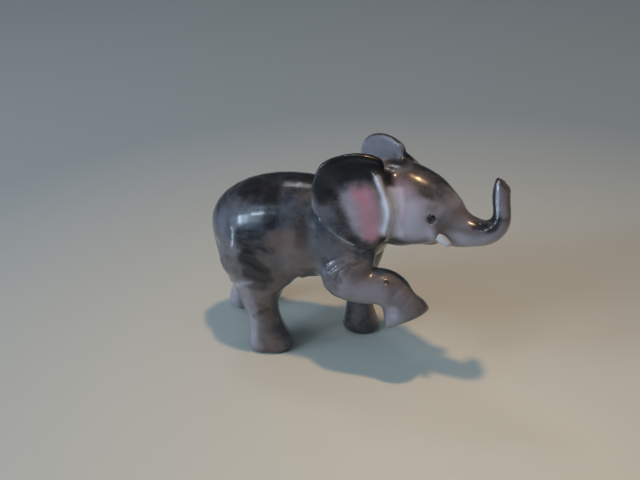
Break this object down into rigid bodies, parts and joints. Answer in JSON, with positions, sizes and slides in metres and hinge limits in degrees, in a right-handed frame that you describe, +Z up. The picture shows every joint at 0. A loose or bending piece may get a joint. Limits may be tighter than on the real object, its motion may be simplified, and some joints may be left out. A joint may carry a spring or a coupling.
{
  "type": "toy elephant calf figure",
  "caption": "Miniature elephant calf in glossy glazed china, with a raised S-curved trunk, cupped ears, short tusks and a lifted right forefoot; it stands on its other soles.",
  "frame": {"origin": "on the floor, under the middle of the bounding box", "axes": "+X towards the trunk, +Y to the calf's left, +Z up"},
  "size_m": [0.0606, 0.024, 0.0457],
  "materials": {
    "body_glaze": "high-gloss clear glaze over airbrushed charcoal grey",
    "leg_glaze": "high-gloss clear glaze over airbrushed lavender grey",
    "head_glaze": "high-gloss clear glaze over airbrushed pinkish grey",
    "ear_glaze": "high-gloss clear glaze, pink centre and charcoal rim",
    "tusk_glaze": "high-gloss clear glaze on bare white china",
    "eye_enamel": "glossy black fired enamel"
  },
  "bodies": {
    "root": {"torso": "body_glaze", "head": "head_glaze", "trunk": "head_glaze", "right_ear": "ear_glaze", "left_ear": "ear_glaze", "right_tusk": "tusk_glaze", "left_tusk": "tusk_glaze", "right_eye": "eye_enamel", "left_eye": "eye_enamel", "right_foreleg": "leg_glaze", "left_foreleg": "leg_glaze", "right_hind_leg": "leg_glaze", "left_hind_leg": "leg_glaze", "tail": "body_glaze"}
  },
  "joints": []
}
